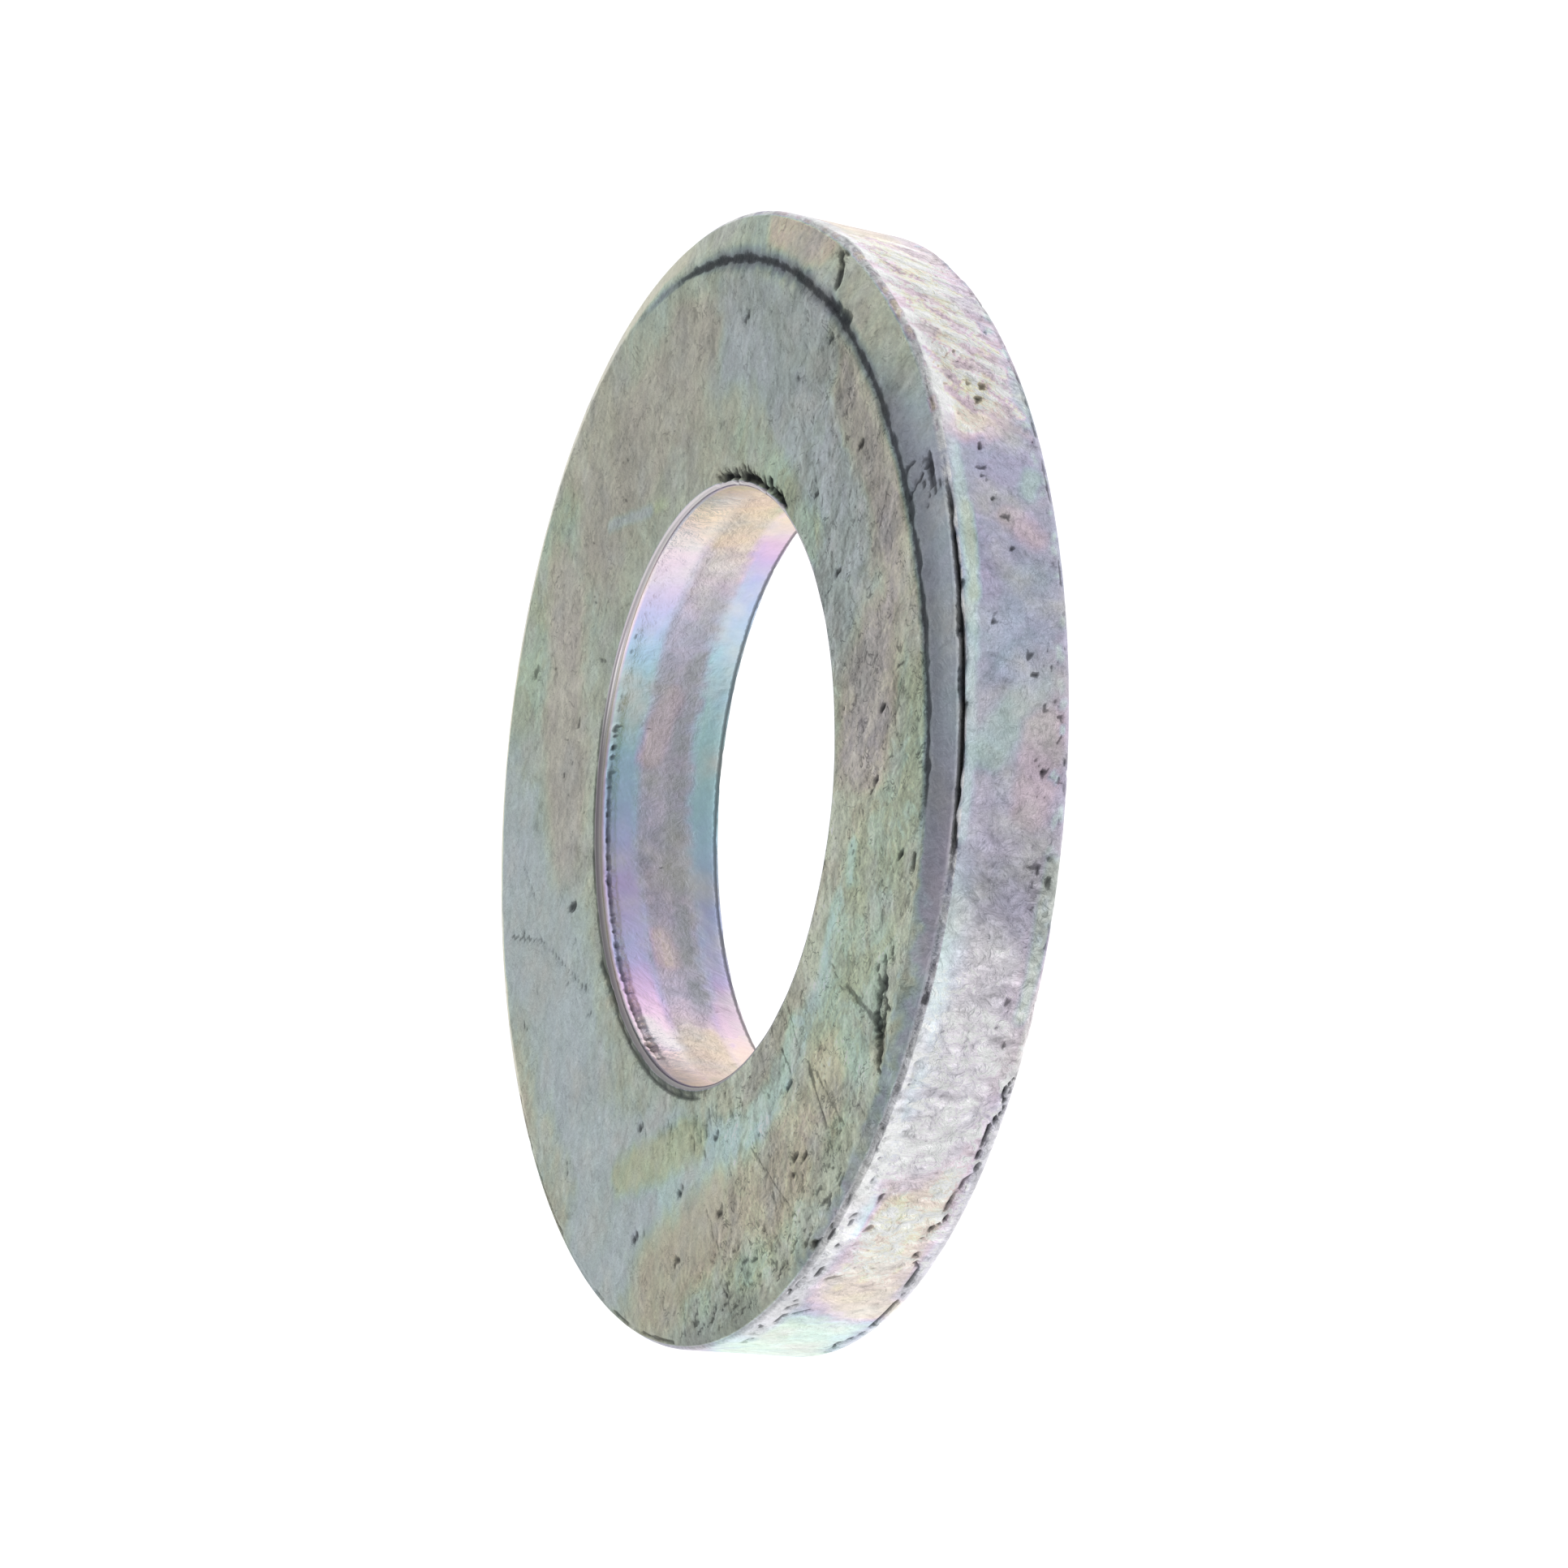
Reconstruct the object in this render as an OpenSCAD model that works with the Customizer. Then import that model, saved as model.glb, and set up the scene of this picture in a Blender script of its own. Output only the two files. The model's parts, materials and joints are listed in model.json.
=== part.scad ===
// Chamfered flat washer: one stamped steel ring, lying on its plain face with
// the chamfered face up. The origin is the centre of the plain bottom face and
// +Z is the bore's axis. The chamfer was coined off centre, so it is widest
// towards +X and runs out towards -X.

/* [Ring] */
// Outside diameter
outer_d = 12; // [11.6:0.1:12.4]
// Bore diameter, a clearance hole for an M6 screw
bore_d = 6.4; // [6.4:0.02:6.6]
// Thickness from the plain face to the chamfered face
thickness = 1.45; // [1.4:0.05:1.8]

/* [Chamfer] */
// Angle between the chamfer and the top face, in degrees
chamfer_angle = 30; // [28:1:35]
// Diameter of the circle where the chamfer meets the top face
land_d = 11.9; // [11.4:0.05:11.95]
// How far the coined circle lies off the bore's axis, towards -X
coining_offset = 0.45; // [0.1:0.05:0.5]

/* [Edges] */
// Width of the edge break where the bore meets the top face
bore_top_break = 0.08; // [0.04:0.02:0.16]
// Width of the edge break where the bore meets the bottom face
bore_bottom_break = 0.04; // [0.04:0.02:0.16]
// Radius of the rolled edge between the rim and the bottom face
rim_bottom_round = 0.08; // [0.04:0.02:0.16]

/* [Hidden] */
outer_r = outer_d / 2;
bore_r = bore_d / 2;
land_r = land_d / 2;
// Height above the top face, and reach beyond the rim, that the cutter clears
cutter_clearance = 1;
cutter_reach = outer_r - land_r + coining_offset + cutter_clearance;
$fn = 180;

// Half section of the ring before coining, drawn in radius and height
module ring_section() {
    round_centre = [outer_r - rim_bottom_round, rim_bottom_round];
    polygon([
        [bore_r + bore_bottom_break, 0],
        [round_centre[0], 0],
        [round_centre[0], rim_bottom_round],
        [outer_r, rim_bottom_round],
        [outer_r, thickness],
        [bore_r + bore_top_break, thickness],
        [bore_r, thickness - bore_top_break],
        [bore_r, bore_bottom_break]
    ]);
    intersection() {
        translate(round_centre) circle(r = rim_bottom_round, $fn = 48);
        translate([round_centre[0], 0]) square(rim_bottom_round);
    }
}

// The stamped ring, coaxial with the bore
module blank() {
    rotate_extrude() ring_section();
}

// The metal that coining displaces: all that lies above one wide cone
module chamfer_cutter() {
    slope = tan(chamfer_angle);
    rotate_extrude() polygon([
        [land_r - cutter_clearance / slope, thickness + cutter_clearance],
        [land_r + cutter_reach, thickness - cutter_reach * slope],
        [land_r + cutter_reach, thickness + cutter_clearance]
    ]);
}

module washer() {
    color([0.62, 0.64, 0.62]) difference() {
        blank();
        translate([-coining_offset, 0, 0]) chamfer_cutter();
    }
}

washer();
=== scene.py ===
"""A chamfered flat washer: bright zinc plate with a rainbow passivation.

The washer is one dense ring of rows (around) and lanes (along its section).
Its nicks, cracks and seam are real dents in that mesh. Its attributes tell the
material where the film is thick, where it is dirty or painted with light and
shade, and how rough it is.
"""
import json
import math
import bpy
import numpy as np
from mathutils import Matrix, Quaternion, Vector


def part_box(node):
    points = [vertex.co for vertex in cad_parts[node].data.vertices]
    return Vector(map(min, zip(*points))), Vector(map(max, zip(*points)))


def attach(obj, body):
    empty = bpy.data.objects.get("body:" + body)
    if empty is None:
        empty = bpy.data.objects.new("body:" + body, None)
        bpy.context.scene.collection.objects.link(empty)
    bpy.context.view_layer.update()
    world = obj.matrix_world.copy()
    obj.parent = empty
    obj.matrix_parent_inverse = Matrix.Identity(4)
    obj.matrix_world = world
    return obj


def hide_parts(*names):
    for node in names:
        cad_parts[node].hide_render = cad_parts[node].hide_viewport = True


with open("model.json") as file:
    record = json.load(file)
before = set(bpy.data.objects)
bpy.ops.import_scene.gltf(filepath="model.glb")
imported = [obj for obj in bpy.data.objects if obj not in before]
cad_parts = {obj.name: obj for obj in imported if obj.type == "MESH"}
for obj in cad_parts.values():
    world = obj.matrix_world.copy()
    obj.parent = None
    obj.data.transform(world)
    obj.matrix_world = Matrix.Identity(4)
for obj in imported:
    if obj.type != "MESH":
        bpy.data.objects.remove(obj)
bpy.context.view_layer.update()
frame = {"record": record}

# Lengths below are millimetres in the row frame, and angles are degrees from +X.
# In the comments, east is +X and north is +Y.
MM = 0.001
LOW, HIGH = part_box("washer")
MOUNTS = {m["name"]: m for m in frame["record"]["mounts"]}
OUTER_R = (HIGH.x - LOW.x) / 2 / MM
THICK = (HIGH.z - LOW.z) / MM
BORE_R = MOUNTS["bore"]["dims"]["r_mm"]

# The coined circle, whose centre lies off the bore's axis towards -X
COINED_R = OUTER_R - 0.05
COINED_OFFSET = 0.45
LEAST_CHAMFER = 0.12
# How far the chamfer's outer edge lies below the face, and how far it bulges out
EDGE_TURNS = (-180, -110, -90, -75, -60, -50, -22, -10, 3, 15, 28, 45, 60, 90, 180)
EDGE_DEPTHS = (0.03, 0.04, 0.06, 0.12, 0.18, 0.2, 0.2, 0.23, 0.28, 0.26, 0.22, 0.12, 0.08, 0.04, 0.03)
LIP_TURNS = (-180, -70, -10, 20, 35, 48, 60, 76, 90, 110, 180)
LIP_BULGES = (0, 0, 0.04, 0.08, 0.12, 0.155, 0.13, 0.07, 0.02, 0, 0)
# The rounded edge and the edge break at the two ends of the bore
BORE_LIP = 0.06
BORE_BREAK = 0.04
# The rounded edges at the two ends of the rim
BEAD_R = 0.07
BACK_ROUND = 0.08

ROWS = 720
LANES = {"land": 46, "chamfer": 14, "bead": 6, "rim": 26, "heel": 4,
         "back": 12, "break": 3, "bore": 20, "lip": 6}
FACE = ("lip", "land", "chamfer")
WALL = ("bead", "rim", "heel")
HOLE = ("break", "bore", "lip")

# How far the floor lies below the washer
FLOOR_DROP = 60
# What the camera looks at, from which side and how far off, and how it is turned
CAMERA_AIM = (0.08, 0.03, 0.64)
CAMERA_AZIMUTH = 45
CAMERA_ELEVATION = 23
CAMERA_DISTANCE = 144.2
CAMERA_ROLL = 85.4
CAMERA_LENS = 311


def mix(a, b, share):
    """a where share is 0, b where it is 1."""
    return a + (b - a) * share


def ease(low, high, value):
    """A smooth step from 0 at low to 1 at high."""
    t = np.clip((value - low) / (high - low), 0, 1)
    return t * t * (3 - 2 * t)


def within(low, high, soft, value):
    """1 between low and high, falling to 0 over soft on both sides."""
    return ease(low - soft, low + soft, value) * ease(high + soft, high - soft, value)


def spread(count, crowd_start=0.0, crowd_end=0.0):
    """count shares from 0 up to but not including 1, crowded towards either end."""
    t = np.arange(count) / count
    return t - crowd_start * t * (1 - t) ** 2 + crowd_end * t**2 * (1 - t)


def polar(radius, degrees):
    """The x and y of a point that far from the bore's axis."""
    turn = math.radians(degrees)
    return radius * math.cos(turn), radius * math.sin(turn)


def near(rng, place, across, along):
    """A place at a random step from that one, drawn from two ranges."""
    return place[0] + rng.uniform(*across), place[1] + rng.uniform(*along)


def grain(points, size, seed):
    """Smooth noise from -1 to 1 at points, with grains about size across."""
    side = 32
    table = np.random.RandomState(seed).uniform(-1, 1, (side, side, side))
    places = points / size
    cell = np.floor(places).astype(int)
    part = places - cell
    part = part * part * (3 - 2 * part)
    total = 0
    for corner in np.ndindex(2, 2, 2):
        weight = np.prod(np.where(corner, part, 1 - part), axis=-1)
        index = (cell + corner) % side
        total = total + weight * table[index[..., 0], index[..., 1], index[..., 2]]
    return total


def cloud(points, size, seed, layers=3):
    """Noise with layers of finer and weaker grains."""
    total = sum(grain(points, size / 2**k, seed + k) / 2**k for k in range(layers))
    return total / sum(1 / 2**k for k in range(layers))


def line_gap(u, v, start, end):
    """Distance from (u, v) to the straight line from start to end."""
    along_u, along_v = end[0] - start[0], end[1] - start[1]
    length = max(along_u**2 + along_v**2, 1e-9)
    t = np.clip(((u - start[0]) * along_u + (v - start[1]) * along_v) / length, 0, 1)
    return np.hypot(u - start[0] - t * along_u, v - start[1] - t * along_v)


def path_gap(u, v, corners):
    """Distance from (u, v) to the nearest stretch of a path of corners."""
    gaps = [line_gap(u, v, a, b) for a, b in zip(corners, corners[1:])]
    return np.minimum.reduce(gaps)


# ------------------------------------------------------------ bare section

class Ring:
    """The bare washer: where each lane lies at each row, and its outward normal."""

    def __init__(self):
        angle = np.arange(ROWS) * 360.0 / ROWS
        self.angle = np.where(angle > 180, angle - 360, angle)
        turn = np.radians(self.angle)
        seam = COINED_R - COINED_OFFSET * np.cos(turn)
        self.seam_r = np.minimum(seam, OUTER_R - LEAST_CHAMFER)
        self.lip_r = OUTER_R + self.smooth(LIP_TURNS, LIP_BULGES)
        self.edge_z = THICK - self.smooth(EDGE_TURNS, EDGE_DEPTHS)
        self.sections()
        self.place()

    def smooth(self, turns, values):
        """Values given at a few turns, drawn smoothly through every row."""
        drawn = np.interp(self.angle, turns, values)
        reach = 8
        return sum(np.roll(drawn, k) for k in range(-reach, reach + 1)) / (2 * reach + 1)

    def sections(self):
        """Radius and height of every lane at every row, and each lane's zone."""
        one = np.ones(ROWS)
        radii, heights, zones = [], [], []

        def keep(name, r, z):
            radii.append(r)
            heights.append(z)
            zones.extend([name] * LANES[name])

        def straight(name, start, end, crowd_start=0.0, crowd_end=0.0):
            t = spread(LANES[name], crowd_start, crowd_end)
            r0, z0, r1, z1 = [(one * x)[:, None] for x in (*start, *end)]
            keep(name, mix(r0, r1, t), mix(z0, z1, t))

        def rounded(name, centre, radius, first, last):
            t = np.radians(mix(first, last, spread(LANES[name])))
            r0, z0 = [(one * x)[:, None] for x in centre]
            keep(name, r0 + radius * np.cos(t), z0 + radius * np.sin(t))

        bead_z = self.edge_z - BEAD_R
        chamfer_end = (self.lip_r - BEAD_R / 2, self.edge_z + BEAD_R * 0.2)
        straight("land", (BORE_R + BORE_LIP, THICK), (self.seam_r, THICK), 0.4, 0.6)
        straight("chamfer", (self.seam_r, THICK), chamfer_end, 0.4, 0.4)
        rounded("bead", (self.lip_r - BEAD_R, bead_z), BEAD_R, 60, 0)
        straight("rim", (self.lip_r, bead_z), (OUTER_R, BACK_ROUND), 0.3, 0.3)
        rounded("heel", (OUTER_R - BACK_ROUND, BACK_ROUND), BACK_ROUND, 0, -90)
        straight("back", (OUTER_R - BACK_ROUND, 0), (BORE_R + BORE_BREAK, 0))
        straight("break", (BORE_R + BORE_BREAK, 0), (BORE_R, BORE_BREAK))
        straight("bore", (BORE_R, BORE_BREAK), (BORE_R, THICK - BORE_LIP), 0.2, 0.5)
        rounded("lip", (BORE_R + BORE_LIP, THICK - BORE_LIP), BORE_LIP, 180, 90)
        self.zone = np.array(zones)
        self.r = np.hstack(radii)
        self.z = np.hstack(heights)

    def place(self):
        """Points and outward normals of every row and lane."""
        turn = np.radians(self.angle)[:, None]
        flat = [self.r * np.cos(turn), self.r * np.sin(turn)]
        self.points = np.stack([*flat, self.z], axis=-1)
        along_r = np.roll(self.r, -1, 1) - np.roll(self.r, 1, 1)
        along_z = np.roll(self.z, -1, 1) - np.roll(self.z, 1, 1)
        length = np.maximum(np.hypot(along_r, along_z), 1e-9)
        out_r, out_z = -along_z / length, along_r / length
        out = [out_r * np.cos(turn), out_r * np.sin(turn), out_z]
        self.normal = np.stack(out, axis=-1)

    def mask(self, zones):
        """1 on the lanes of the named zone or zones, 0 elsewhere."""
        return np.isin(self.zone, zones)[None, :] * np.ones((ROWS, 1))


# ---------------------------------------------------------------- surface

class Surface:
    """The ring's dents and the values its material reads, all by row and lane.

    film is the film's thickness, where each whole 1 runs once through the
    interference colours, and chroma is how strong its colour is. shade is how
    light the colour is painted: the metal's own tone, and painted light and shade
    too. The field after it says how dark the colour is made, by dirt in cracks,
    nicks and lines and by shade painted into those hollows, and dull says how
    much rougher it is. wrinkle and ridge are how strongly the flaky and the
    leaning textures show.
    """

    FIELDS = ("film", "chroma", "shade", "soot_and_shade", "dull", "wrinkle", "ridge")

    def __init__(self, ring):
        self.ring = ring
        self.points = ring.points
        self.mask = ring.mask
        shape = ring.r.shape
        self.angle = ring.angle[:, None] * np.ones(shape)
        self.turn = np.where(self.angle < 0, self.angle + 360, self.angle)
        self.dent = np.zeros(shape)
        self.warp = cloud(ring.points, 0.9, 11)
        self.jitter = cloud(ring.points, 0.12, 23, 2)
        for name in self.FIELDS:
            setattr(self, name, np.zeros(shape))
        x, y, z = np.moveaxis(ring.points, -1, 0)
        # Each side of the ring laid out flat: two lengths, and 1 where it applies
        self.plans = {
            "face": (x, y, ring.mask(FACE)),
            "back": (x, y, ring.mask(("back", "heel", "break"))),
            "rim": (OUTER_R * np.radians(self.angle), z, ring.mask(WALL)),
            "bore": (BORE_R * np.radians(self.turn), z, ring.mask(HOLE)),
        }

    def at(self, plan, place):
        """A place on a plan: (x, y) on a face, or (degrees, height) on a wall."""
        if plan in ("face", "back"):
            return place
        radius = OUTER_R if plan == "rim" else BORE_R
        return radius * math.radians(place[0]), place[1]

    def paint(self, share, **values):
        """Moves the named fields towards the values given, by share."""
        for name, value in values.items():
            setattr(self, name, mix(getattr(self, name), value, share))

    def reach(self, plan, corners, width):
        """Where a plan applies, and how many widths away a path of corners is."""
        u, v, on = self.plans[plan]
        return on, path_gap(u, v, [self.at(plan, c) for c in corners]) / width

    def patch(self, plan, start, end, width, **values):
        """A soft, ragged patch along a line."""
        on, gap = self.reach(plan, (start, end), width)
        self.paint(on * ease(1.35, 0.5, gap + 0.7 * self.warp + 0.2 * self.jitter), **values)

    def patches(self, plan, rows):
        """Patches laid in order, each given by its start, end, width and values."""
        for start, end, width, values in rows:
            self.patch(plan, start, end, width, **values)

    # A cut is darkened for dirt in it and for the shade painted into the hollow.
    def cut(self, share, depth, soot_and_shade):
        """Sinks the surface by depth and darkens it, by share."""
        self.dent = self.dent - depth * share
        self.soot_and_shade = np.maximum(self.soot_and_shade, soot_and_shade * share)

    def nick(self, plan, start, end, width, depth, soot_and_shade=1.0):
        """A small ragged groove along a line."""
        on, gap = self.reach(plan, (start, end), width)
        self.cut(on * ease(1.2, 0.4, gap + 0.5 * self.jitter), depth, soot_and_shade)

    def nicks(self, plan, rows):
        """Nicks cut in order, each given by its start, end, width, depth and soot."""
        for row in rows:
            self.nick(plan, *row)

    def strew(self, rng, plan, count, box, steps, widths, depth, soot_and_shade_ranges, turned=False):
        """Nicks strewn over a box of places, or of turns and radii if turned."""
        for _ in range(count):
            start = rng.uniform(*box)
            if turned:
                start = polar(start[1], start[0])
            end = near(rng, start, *steps)
            self.nick(plan, start, end, rng.uniform(*widths), depth, rng.uniform(*soot_and_shade_ranges))

    def crack(self, plan, corners, width, depth, soot_and_shade=1.0, breaks=0.0):
        """A jagged crack along a path, broken off where breaks is high."""
        on, gap = self.reach(plan, corners, width)
        whole = 1 - breaks * ease(0.0, 0.3, grain(self.points, 0.35, 31))
        self.cut(on * whole * ease(1.3, 0.5, gap + 0.7 * self.jitter), depth, soot_and_shade)


def lay_ground(s):
    """The plain film, sheen and texture of each zone, before any mark."""
    drift = cloud(s.points, 2.6, 41)
    face, rim = s.mask(FACE), s.mask(WALL)
    hole, back = s.mask(("break", "bore")), s.mask("back")
    s.paint(1, shade=1.0)
    s.paint(face, film=0.35 + 0.25 * drift, chroma=0.31, wrinkle=0.6)
    busy = ease(-150, -115, s.angle) * ease(45, 5, s.angle) * s.mask("land")
    s.paint(busy, wrinkle=1.0)
    s.paint(back, film=0.45 + 0.35 * drift, chroma=0.35, wrinkle=0.7)
    s.paint(rim, film=0.76 + 0.35 * drift, chroma=0.42, wrinkle=0.4, ridge=0.35)
    s.paint(rim * within(-104, -47, 6, s.angle), ridge=0.9, wrinkle=0.25)
    s.paint(rim * within(-4, 30, 5, s.angle), ridge=1.0, wrinkle=0.35)
    s.paint(hole, film=0.6 + 0.45 * drift, chroma=0.55, wrinkle=0.05, ridge=0.1)
    s.dent = s.dent + 0.006 * cloud(s.points, 1.4, 61) * (face + back)
    s.dent = s.dent + 0.003 * cloud(s.points, 0.3, 67) * face


# ------------------------------------------------------------------- film

def tint(film, chroma, shade, **others):
    """The values that a patch of film paints."""
    return dict(film=film, chroma=chroma, shade=shade, **others)


# Films that recur on the chamfered face, then those of the rim
BLUE = tint(0.56, 0.27, 1.04, wrinkle=0.35)
PALE = tint(0.5, 0.42, 1.1)
OLIVE = tint(0.31, 0.55, 0.95)
TAN = tint(0.2, 0.44, 0.92)
GREEN = tint(0.37, 0.48, 1.0)
MINT = tint(0.47, 0.5, 1.2, wrinkle=0.6)
RIM_CREAM = tint(1.12, 0.42, 1.2)
RIM_MINT = tint(0.45, 0.42, 1.34, ridge=0.15)
RIM_CYAN = tint(0.53, 0.4, 0.98, ridge=0.15)
RIM_ROSE = tint(0.9, 0.42, 0.98)
RIM_BLUE = tint(0.66, 0.5, 1.0)
RIM_WHITE = tint(0.78, 0.2, 1.22)
RIM_FLECK = tint(1.18, 0.5, 1.28)


def film_south_face(s):
    """The west and south of the face: blue film, then olive, tan, green and mint."""
    s.patches("face", [
        ((-4.6, 3.2), (-4.7, -1.8), 1.2, BLUE),
        ((-4.3, -1.5), (-2.6, -3.4), 0.7, BLUE),
        ((-3.2, -2.9), (-1.2, -3.9), 0.35, PALE),
        ((-1.2, -3.9), (1.5, -3.8), 0.3, PALE),
        ((-4.2, -1.8), (-2.4, -2.9), 0.25, OLIVE),
        ((-4.2, -3.5), (-0.6, -4.8), 0.55, TAN),
        ((-3.6, -4.4), (-1.0, -5.5), 0.35, GREEN),
        ((-3.9, -4.5), (-2.2, -5.4), 0.2, tint(0.4, 0.3, 0.82)),
        ((0.8, -4.6), (3.8, -3.2), 0.9, GREEN),
        ((0.4, -4.7), (-1.2, -4.9), 0.5, TAN),
        ((3.7, -1.75), (3.0, -2.1), 0.08, MINT),
        ((2.4, -3.1), (2.15, -3.3), 0.13, MINT),
        ((1.8, -3.3), (1.2, -3.6), 0.15, MINT),
        ((0.2, -3.6), (-0.3, -3.95), 0.16, MINT),
        ((-0.8, -3.75), (-1.35, -3.75), 0.18, MINT),
    ])


def film_north_face(s):
    """The east and north of the face: faint blue and tan film, and two bright stains."""
    s.patches("face", [
        ((3.1, -2.4), (4.9, -0.7), 0.6, tint(0.05, 0.25, 0.95)),
        ((3.8, -0.5), (4.4, 2.0), 0.9, tint(0.56, 0.22, 1.0)),
        ((4.2, 2.0), (3.0, 3.8), 0.7, tint(0.56, 0.22, 1.0)),
        ((5.1, -0.6), (4.9, 1.4), 0.3, tint(0.12, 0.25, 0.84)),
        ((4.8, 1.6), (3.6, 3.9), 0.3, tint(0.5, 0.2, 0.9)),
        ((3.4, 0.4), (2.7, 2.6), 0.3, GREEN),
        ((2.2, 4.5), (-0.6, 4.4), 0.8, tint(0.2, 0.25, 0.93)),
        ((0.4, 3.7), (-0.5, 4.35), 0.1, tint(0.55, 0.2, 1.14)),
        ((0.8, 3.45), (0.55, 3.6), 0.1, tint(0.34, 0.6, 1.12)),
        ((-1.5, 5.3), (-3.2, 4.5), 0.5, GREEN),
        ((-2.0, 4.4), (-3.2, 2.5), 0.6, tint(0.15, 0.22, 0.94)),
        ((1.6, 5.8), (4.2, 4.2), 0.35, tint(0.38, 0.35, 1.0)),
        ((4.5, 4.0), (5.2, 3.0), 0.25, tint(0.12, 0.5, 1.0)),
    ])


def lighten_land(s):
    """Makes the flat land lighter, most to the south and hardly in the north-east."""
    bright = 0.07 + 0.13 * within(-120, -40, 10, s.angle) - 0.06 * within(10, 110, 10, s.angle)
    s.shade = s.shade * (1 + bright * s.mask("land"))


def film_chamfer(s):
    """The smooth grey chamfer, which blends into the face towards the south, with painted light and
    shade on its slope and painted shade along the seam.
    """
    beyond = s.ring.r - s.ring.seam_r[:, None]
    soft = mix(0.01, 0.2, ease(-46, -62, s.angle))
    late = 0.07 * ease(-40, -58, s.angle)
    sloped = s.mask(FACE) * ease(-soft, soft, beyond - late + soft * s.jitter)
    grey_side = within(-100, 2, 8, s.angle)
    film = mix(0.62, 0.78, ease(-34, -48, s.angle)) + 0.12 * s.warp
    wrinkle = mix(0.28, 0.8, ease(-62, -90, s.angle))
    s.paint(sloped * grey_side, film=film, chroma=0.33, wrinkle=wrinkle, shade=1.0)
    # Painted light and shade: the slope is lighter round the east and north, darker to the south and
    # in the south-east, by how it faces the light.
    light = mix(0.88, 1.18, ease(-75, -52, s.angle)) - 0.27 * within(-60, -36, 8, s.angle)
    s.shade = s.shade * mix(1, light, sloped)
    # Painted shade on the chamfer beside the step at the seam, from the south-east to the east.
    shaded = sloped * within(-52, 8, 8, s.angle) * ease(0.42, 0.05, beyond)
    s.paint(shaded, film=0.66, shade=0.72)


def film_south_rim(s):
    """Mint, then cream with flecks, a pale strip along the back and a painted highlight on the
    rounded back edge, then white.
    """
    s.patches("rim", [
        ((-128, 0.7), (-112, 0.7), 0.7, RIM_MINT),
        ((-105, 0.6), (-84, 0.7), 0.7, tint(1.08, 0.4, 1.19)),
        ((-106, 0.7), (-103, 0.2), 0.12, RIM_CREAM),
        ((-88, 0.8), (-86, 0.5), 0.12, RIM_CREAM),
        ((-94, 1.14), (-89, 1.14), 0.12, RIM_CYAN),
        ((-104, 0.08), (-72, 0.05), 0.14, tint(0.74, 0.24, 1.3)),
    ])
    rng = np.random.RandomState(59)
    for _ in range(30):
        start = rng.uniform([-104, 0.3], [-68, 1.05])
        end = near(rng, start, (-0.2, -1.2), (0, -0.06))
        s.patch("rim", start, end, rng.uniform(0.03, 0.06), **RIM_FLECK)
    # Painted highlight on the rounded back edge in the south.
    s.paint(s.mask("heel") * within(-116, -62, 6, s.angle), shade=1.5, chroma=0.2)
    s.patch("rim", (-80, 0.8), (-62, 0.7), 0.6, **RIM_WHITE)


def film_east_rim(s):
    """Violet and blue, a bright strip beside the folded edge, then cream to the north."""
    s.patches("rim", [
        ((-66, 0.16), (-50, 0.08), 0.1, {"film": 0.46, "chroma": 0.16}),
        ((-21, 0.9), (-6, 0.5), 0.5, tint(0.71, 0.52, 1.0)),
        ((-30, 1.12), (0, 1.04), 0.1, tint(0.54, 0.42, 1.22, ridge=0.1)),
        ((-48, 1.17), (-30, 1.14), 0.07, tint(0.56, 0.38, 1.18, ridge=0.1)),
        ((-24, 1.06), (-14, 1.04), 0.08, tint(0.42, 0.32, 1.12)),
        ((-39, 0.9), (-32, 0.4), 0.2, RIM_CYAN),
        ((-30, 0.6), (-22, 0.4), 0.35, RIM_BLUE),
        ((-15, 0.55), (-17, 0.3), 0.2, RIM_ROSE),
        ((-12, 0.3), (-10, 0.2), 0.14, RIM_CYAN),
        ((-45, 0.4), (-37, 0.3), 0.2, RIM_ROSE),
        ((-2, 0.9), (16, 0.5), 0.5, tint(1.08, 0.42, 1.2)),
        ((14, 0.9), (42, 0.6), 0.7, RIM_CREAM),
        ((28, 0.2), (36, 0.1), 0.2, tint(0.97, 0.4, 1.15)),
        ((6, 0.25), (20, 0.15), 0.3, tint(0.82, 0.36, 1.1)),
    ])


# Turns round the bore, and how much the film there differs from 1 on its top and foot
BORE_TURNS = (40, 60, 70, 80, 92, 112, 128, 142, 156, 172, 184, 196, 210, 240, 280, 330, 400)
TOP_FILMS = (0.3, 0.18, 0.12, 0.02, -0.2, -0.42, -0.46, -0.34, -0.24, -0.28, -0.08, 0.02,
             0.1, 0.2, 0.26, 0.34, 0.3)
FOOT_FILMS = (0.3, 0.18, 0.1, -0.1, -0.32, -0.45, -0.47, -0.44, -0.36, -0.28, -0.1, 0.04,
              0.1, 0.2, 0.26, 0.34, 0.3)


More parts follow.
